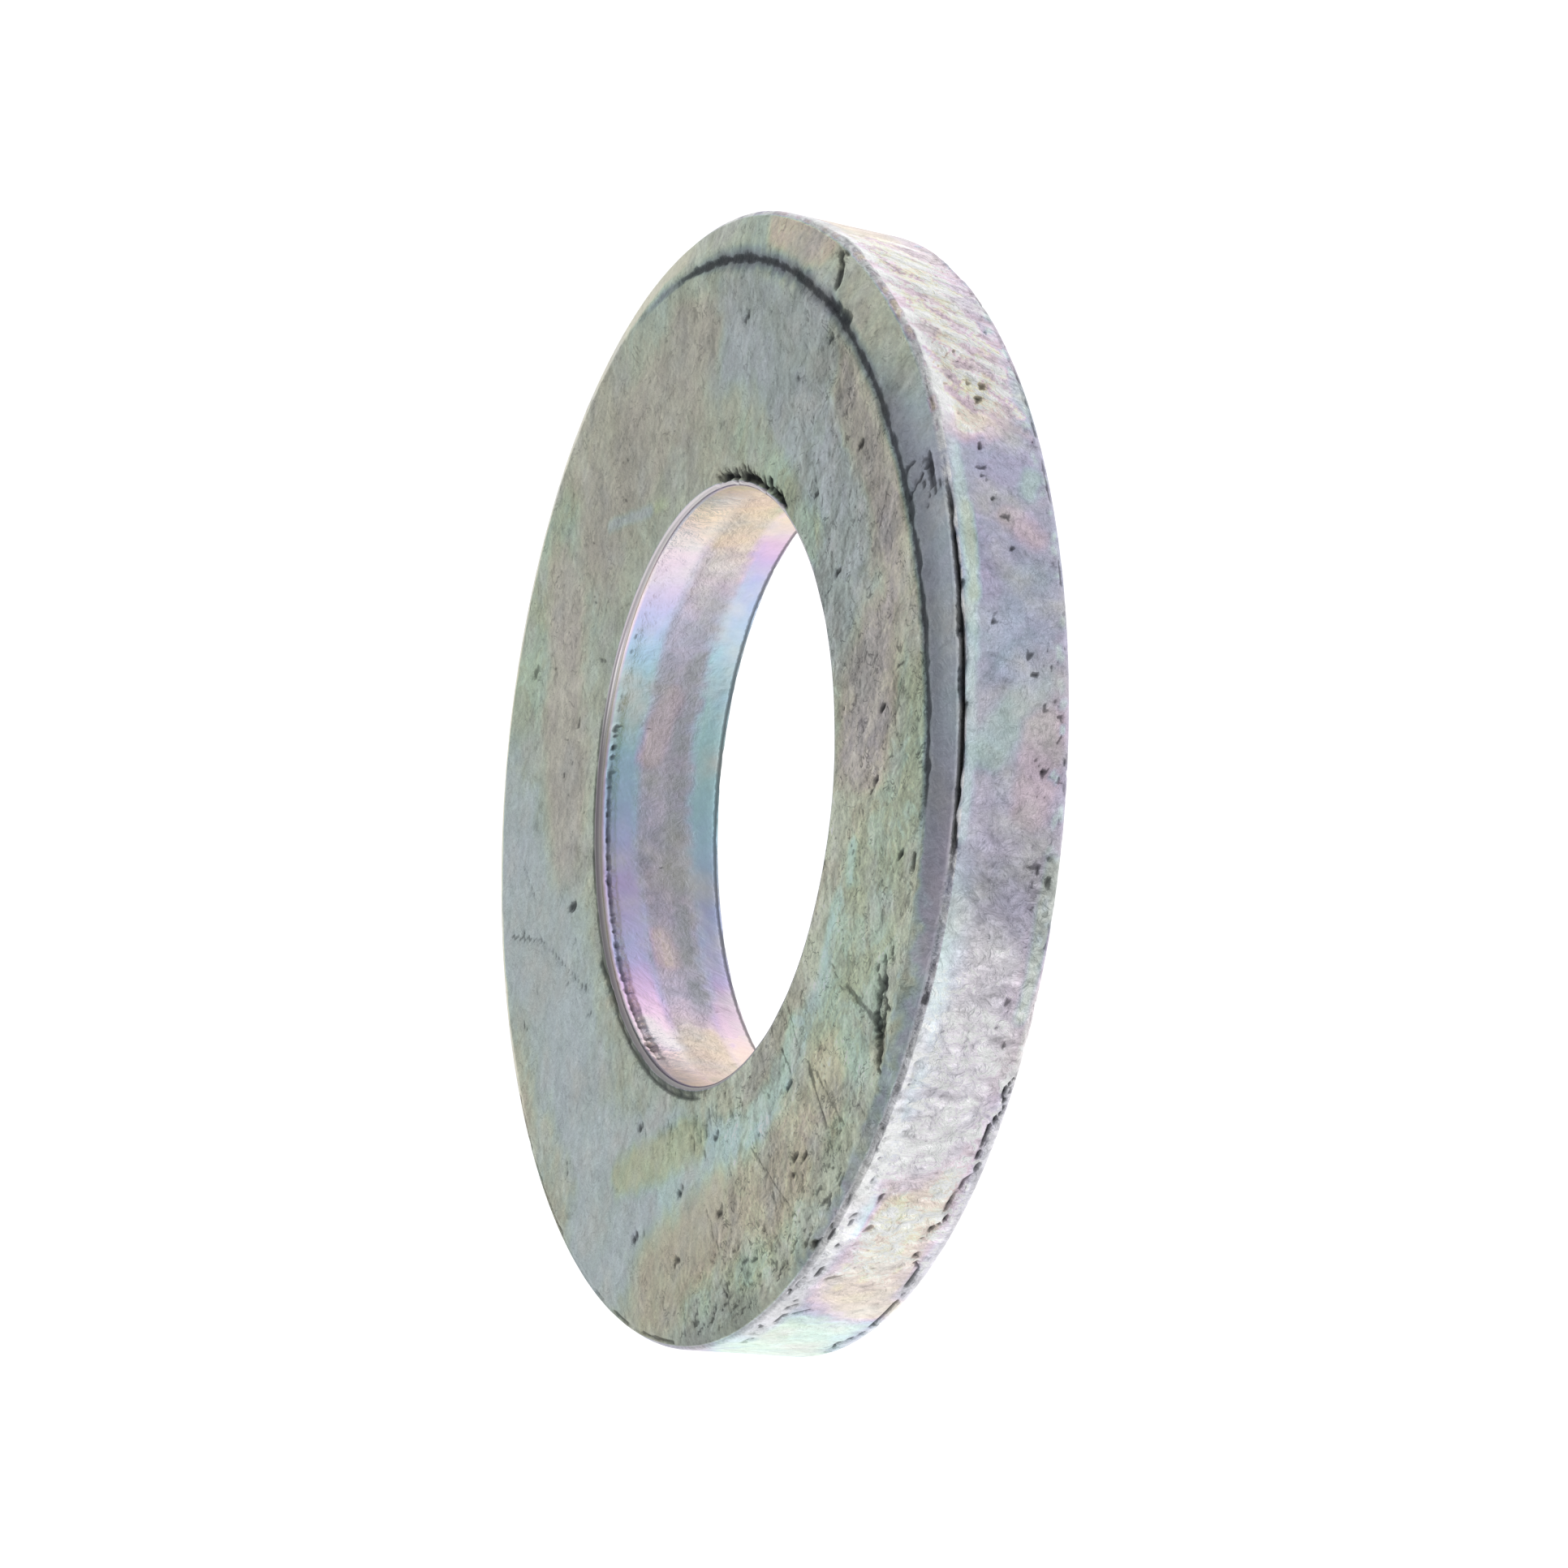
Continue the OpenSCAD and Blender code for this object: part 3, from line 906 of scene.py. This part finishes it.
class Graph:
    """Short names for the node links of one material."""

    def __init__(self, name):
        self.material = bpy.data.materials.new(name)
        self.material.use_nodes = True
        self.nodes = self.material.node_tree.nodes
        self.links = self.material.node_tree.links
        self.shader = self.nodes["Principled BSDF"]
        self.places = self.nodes.new("ShaderNodeTexCoord").outputs["Object"]

    def put(self, socket, value):
        """Links or sets value on a socket, and leaves the socket alone for None."""
        if isinstance(value, bpy.types.NodeSocket):
            self.links.new(value, socket)
        elif value is not None:
            socket.default_value = value

    def make(self, kind, inputs, **settings):
        """A new node of that kind, with its settings and its inputs."""
        node = self.nodes.new("ShaderNode" + kind)
        for name, value in settings.items():
            setattr(node, name, value)
        for name, value in inputs.items():
            self.put(node.inputs[name], value)
        return node

    def field(self, name):
        """A value that the mesh carries under that name."""
        return self.make("Attribute", {}, attribute_name=name).outputs["Fac"]

    def noise(self, grains_per_mm, detail=3.0, rough=0.5, long=1.0, lean=0.0, warp=0.0,
              shift=(0, 0, 0)):
        """Noise whose grains are that many times longer along an axis leaning from +Z."""
        scaled = self.make("Mapping", {
            "Vector": self.places,
            "Location": [x * MM for x in shift],
            "Rotation": (math.radians(-lean), 0, 0),
            "Scale": (MM, MM, long * MM),
        }, vector_type="TEXTURE")
        return self.make("TexNoise", {
            "Vector": scaled.outputs["Vector"],
            "Scale": grains_per_mm,
            "Detail": detail,
            "Roughness": rough,
            "Distortion": warp,
        }).outputs["Fac"]

    def math(self, kind, a, b=None, c=None, clamp=False):
        """One sum or comparison of up to three values."""
        values = {0: a, 1: b} if c is None else {0: a, 1: b, 2: c}
        return self.make("Math", values, operation=kind, use_clamp=clamp).outputs[0]

    def centred(self, noise, gain):
        """noise, moved from 0..1 to -gain/2..gain/2."""
        return self.math("MULTIPLY", self.math("SUBTRACT", noise, 0.5), gain)

    def step(self, value, low, high):
        """A smooth step from 0 at low to 1 at high."""
        ends = {"Value": value, "From Min": low, "From Max": high}
        return self.make("MapRange", ends, interpolation_type="SMOOTHSTEP").outputs["Result"]

    def mix(self, share, a, b, kind="MIX"):
        """Colour a where share is 0, b laid over it where share is 1."""
        values = {"Factor": share, 6: a, 7: b}
        return self.make("Mix", values, data_type="RGBA", blend_type=kind).outputs[2]

    def grey(self, value):
        """A colour whose red, green and blue are all value."""
        return self.make("CombineColor", {0: value, 1: value, 2: value}).outputs[0]

    def ramp(self, value, stops):
        """The colour that the stops give for value, drawn smoothly through them."""
        node = self.make("ValToRGB", {"Fac": value})
        node.color_ramp.interpolation = "B_SPLINE"
        marks = node.color_ramp.elements
        while len(marks) < len(stops):
            marks.new(0.5)
        for mark, (place, colour) in zip(marks, stops):
            mark.position = place
            mark.color = colour
        return node.outputs["Color"]

    def hairlines(self, grains_per_mm, width, where, long=1.0, lean=0.0):
        """Thin wandering lines, kept only where that field is high."""
        noise = self.noise(grains_per_mm, 3.0, 0.6, long, lean, warp=0.7)
        wander = self.math("ABSOLUTE", self.centred(noise, 1.0))
        return self.math("MULTIPLY", self.step(wander, width, width * 0.3), where)

    def relief(self, grains_per_mm, shift, gain):
        """Light and dark sides of flakes, as if lit from the side that shift names."""
        near_side = self.noise(grains_per_mm, 5.0, 0.62, warp=0.6)
        far_side = self.noise(grains_per_mm, 5.0, 0.62, warp=0.6, shift=shift)
        return self.math("MULTIPLY", self.math("SUBTRACT", near_side, far_side), gain)

    def bump(self, height, strength, depth, under=None):
        """A bumped normal, on top of the one under it."""
        values = {"Strength": strength, "Distance": depth * MM, "Height": height, "Normal": under}
        return self.make("Bump", values).outputs["Normal"]


# Interference colours in the order they follow as the film gets thicker
FILM_ORDER = [
    (0.00, tone(236, 204, 218)), (0.1, tone(248, 216, 190)), (0.22, tone(238, 224, 168)),
    (0.33, tone(204, 224, 168)), (0.44, tone(176, 222, 196)), (0.54, tone(150, 208, 220)),
    (0.64, tone(156, 180, 226)), (0.76, tone(176, 160, 220)), (0.88, tone(214, 168, 214)),
    (1.00, tone(236, 204, 218)),
]
ZINC = tone(207, 206, 202)
# Dark colour for dirt and for the shade painted into cracks, nicks and lines
SOOT_AND_SHADE = tone(38, 40, 44)


def film_colour(g, wrinkle, flake):
    """Grey zinc, coloured by a film whose thickness drifts a little from place to place."""
    drift = g.centred(g.noise(1.1, 3.0, 0.55, warp=0.6), 0.16)
    fine = g.centred(g.noise(7.0, 4.0, 0.6), 0.05)
    film = g.math("ADD", g.field("film"), g.math("ADD", drift, fine))
    film = g.math("MULTIPLY_ADD", g.centred(flake, 0.07), wrinkle, film)
    rainbow = g.ramp(g.math("FRACT", film), FILM_ORDER)
    fading = g.step(g.noise(1.7, 3.0), 0.1, 0.6)
    chroma = g.math("MULTIPLY", g.field("chroma"), fading, clamp=True)
    return g.mix(chroma, ZINC, rainbow)


def tone_and_painted_light(g, wrinkle, ridge, flake, mottle, ripple):
    """How light the colour is made: the metal's mottled, flaky tone by wrinkle, painted light and
    shade on the sides of the flakes by wrinkle, and painted shade in the creases and on the ripples
    by ridge.
    """
    speck = g.noise(26.0, 4.0, 0.7)
    light = g.math("ADD", g.centred(mottle, 0.95), g.centred(speck, 0.7))
    light = g.math("MULTIPLY_ADD", light, g.math("ADD", wrinkle, 0.15), 1.0)
    light = g.math("MULTIPLY_ADD", g.centred(flake, 0.15), wrinkle, light)
    # Painted light and shade on the flakes, lit on one side and shaded on the other.
    light = g.math("MULTIPLY_ADD", g.relief(4.2, (0.035, -0.035, 0), 1.6), wrinkle, light)
    # Painted shade along the creases of the ripples.
    crease = g.hairlines(4.6, 0.055, ridge, long=2.4, lean=32)
    light = g.math("MULTIPLY_ADD", crease, -0.12, light)
    # Painted light and shade on the ripples and on finer wavelets.
    light = g.math("MULTIPLY_ADD", g.centred(ripple, 1.0), ridge, light)
    wavelet = g.noise(15.0, 3.0, 0.6, long=2.6, lean=14, warp=0.5)
    light = g.math("MULTIPLY_ADD", g.centred(wavelet, 0.5), ridge, light)
    broad = g.noise(1.6, 4.0, 0.55, warp=0.8)
    light = g.math("MULTIPLY_ADD", g.centred(broad, 0.8), wrinkle, light)
    return g.math("MULTIPLY", light, g.field("shade"))


def dark_marks(g, wrinkle):
    """Where dirt and painted shade in cracks and nicks, flecks or hairlines darken the metal, from 0
    to 1.
    """
    soot_and_shade = g.field("soot_and_shade")
    long_hair = g.hairlines(2.6, 0.02, g.step(g.noise(3.3, 3.0, 0.6), 0.5, 0.6))
    short_hair = g.hairlines(6.5, 0.035, g.step(g.noise(5.1, 2.0, 0.6), 0.52, 0.62))
    hair = g.math("MAXIMUM", g.math("MULTIPLY", long_hair, 0.5), g.math("MULTIPLY", short_hair, 0.42))
    hair = g.math("MULTIPLY", hair, wrinkle)
    fleck = g.step(g.noise(9.0, 3.0, 0.6, warp=1.5), 0.69, 0.75)
    fleck = g.math("MULTIPLY", fleck, g.math("MULTIPLY", wrinkle, 0.55))
    ragged = g.math("ADD", soot_and_shade, g.centred(g.noise(16.0, 3.0, 0.6), 0.75))
    # Dirt and painted shade in the cracks, nicks and lines
    grime_and_shade = g.math("MULTIPLY", g.step(ragged, 0.2, 0.42), g.math("MULTIPLY_ADD", soot_and_shade, 0.75, 0.2))
    return g.math("MAXIMUM", grime_and_shade, g.math("MAXIMUM", fleck, hair))


def metal_roughness(g, wrinkle, mottle, dark):
    """Roughness: most where the metal is wrinkled or dirty."""
    rough = g.math("ADD", g.centred(mottle, 0.25), g.field("dull"))
    rough = g.math("ADD", rough, g.math("MULTIPLY_ADD", wrinkle, 0.12, 0.3))
    return g.math("MULTIPLY_ADD", dark, 0.3, rough, clamp=True)


def zinc_material():
    """Bright zinc under a clear film that shows interference colours."""
    g = Graph("rainbow_zinc")
    wrinkle, ridge = g.field("wrinkle"), g.field("ridge")
    flake = g.step(g.noise(1.5, 7.0, 0.6, warp=0.8), 0.45, 0.55)
    mottle = g.noise(3.2, 6.0, 0.72, warp=0.5)
    ripple = g.noise(7.0, 5.0, 0.62, long=2.6, lean=32, warp=0.8)
    colour = film_colour(g, wrinkle, flake)
    # The colour's lightness holds the metal's tone and painted light and shade.
    light = tone_and_painted_light(g, wrinkle, ridge, flake, mottle, ripple)
    colour = g.mix(1.0, colour, g.grey(light), "MULTIPLY")
    dark = dark_marks(g, wrinkle)
    g.put(g.shader.inputs["Base Color"], g.mix(dark, colour, SOOT_AND_SHADE))
    g.shader.inputs["Metallic"].default_value = 1.0
    g.put(g.shader.inputs["Roughness"], metal_roughness(g, wrinkle, mottle, dark))
    coarse = g.bump(g.noise(6.5, 5.0, 0.68, warp=0.6), wrinkle, 0.14)
    small = g.bump(g.noise(20.0, 3.0, 0.6), wrinkle, 0.03, coarse)
    g.put(g.shader.inputs["Normal"], g.bump(ripple, ridge, 0.2, small))
    return g.material


def floor_material():
    """A white light table, brightest on the side away from the camera."""
    g = Graph("light_table")
    g.put(g.shader.inputs["Base Color"], (0.3, 0.3, 0.3, 1))
    g.shader.inputs["Roughness"].default_value = 0.9
    g.shader.inputs["Emission Color"].default_value = (1, 1, 1, 1)
    along = g.make("VectorMath", {0: g.places, 1: around(252, 0, 1)}, operation="DOT_PRODUCT")
    glow = g.step(along.outputs["Value"], -2.1 * FLOOR_DROP * MM, 0)
    g.put(g.shader.inputs["Emission Strength"], g.math("MULTIPLY_ADD", glow, 0.47, 0.5))
    return g.material


# ------------------------------------------------------------------- stage

def around(azimuth, elevation, distance):
    """A point that far from the washer; azimuth 0 is on the -Y side, 90 on +X."""
    a, e = math.radians(azimuth), math.radians(elevation)
    back = Vector((math.sin(a) * math.cos(e), -math.cos(a) * math.cos(e), math.sin(e)))
    return back * distance


def add_floor():
    """A plain pale floor, far enough below the washer to hold no shadow of it."""
    reach, height = 2.5, LOW.z - FLOOR_DROP * MM
    corners = [(x * reach, y * reach, height) for x, y in [(-1, -1), (1, -1), (1, 1), (-1, 1)]]
    mesh = bpy.data.meshes.new("floor")
    mesh.from_pydata(corners, [], [(0, 1, 2, 3)])
    floor = bpy.data.objects.new("floor", mesh)
    bpy.context.scene.collection.objects.link(floor)
    mesh.materials.append(floor_material())


def add_softbox(name, place, size, power):
    """A square lamp at that place, turned towards the washer."""
    data = bpy.data.lights.new(name, "AREA")
    data.size = size
    data.energy = power
    lamp = bpy.data.objects.new(name, data)
    lamp.location = place
    lamp.rotation_mode = "QUATERNION"
    lamp.rotation_quaternion = (-place).to_track_quat("-Z", "Y")
    bpy.context.scene.collection.objects.link(lamp)


def add_light():
    """A grey sky, paler towards the horizon, and two weak softboxes."""
    world = bpy.data.worlds.new("studio")
    world.use_nodes = True
    nodes, links = world.node_tree.nodes, world.node_tree.links
    split = nodes.new("ShaderNodeSeparateXYZ")
    ramp = nodes.new("ShaderNodeValToRGB")
    low, high = ramp.color_ramp.elements
    low.color = (0.72, 0.75, 0.73, 1)
    high.position = 0.9
    high.color = (0.36, 0.37, 0.39, 1)
    links.new(nodes.new("ShaderNodeTexCoord").outputs["Generated"], split.inputs[0])
    links.new(split.outputs["Z"], ramp.inputs["Fac"])
    links.new(ramp.outputs["Color"], nodes["Background"].inputs["Color"])
    bpy.context.scene.world = world
    add_softbox("back_softbox", around(250, 45, 0.4), 0.3, 0.08)
    add_softbox("front_softbox", around(0, 50, 0.4), 0.2, 0.08)


def add_camera():
    """The washer seen near edge-on, rolled so that its axis lies across the picture."""
    data = bpy.data.cameras.new("camera")
    data.sensor_width = 36
    data.lens = CAMERA_LENS
    data.clip_start = 1 * MM
    data.clip_end = 10
    camera = bpy.data.objects.new("camera", data)
    back = around(CAMERA_AZIMUTH, CAMERA_ELEVATION, 1)
    level = (-back).to_track_quat("-Z", "Y")
    roll = Quaternion(-back, math.radians(CAMERA_ROLL))
    camera.location = Vector(CAMERA_AIM) * MM + back * CAMERA_DISTANCE * MM
    camera.rotation_mode = "QUATERNION"
    camera.rotation_quaternion = roll @ level
    bpy.context.scene.collection.objects.link(camera)
    bpy.context.scene.camera = camera


add_camera()
add_light()
add_floor()
washer = build_washer()
washer.data.materials.append(zinc_material())
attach(washer, "root")
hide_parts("washer")
bpy.context.scene.view_settings.view_transform = "Standard"
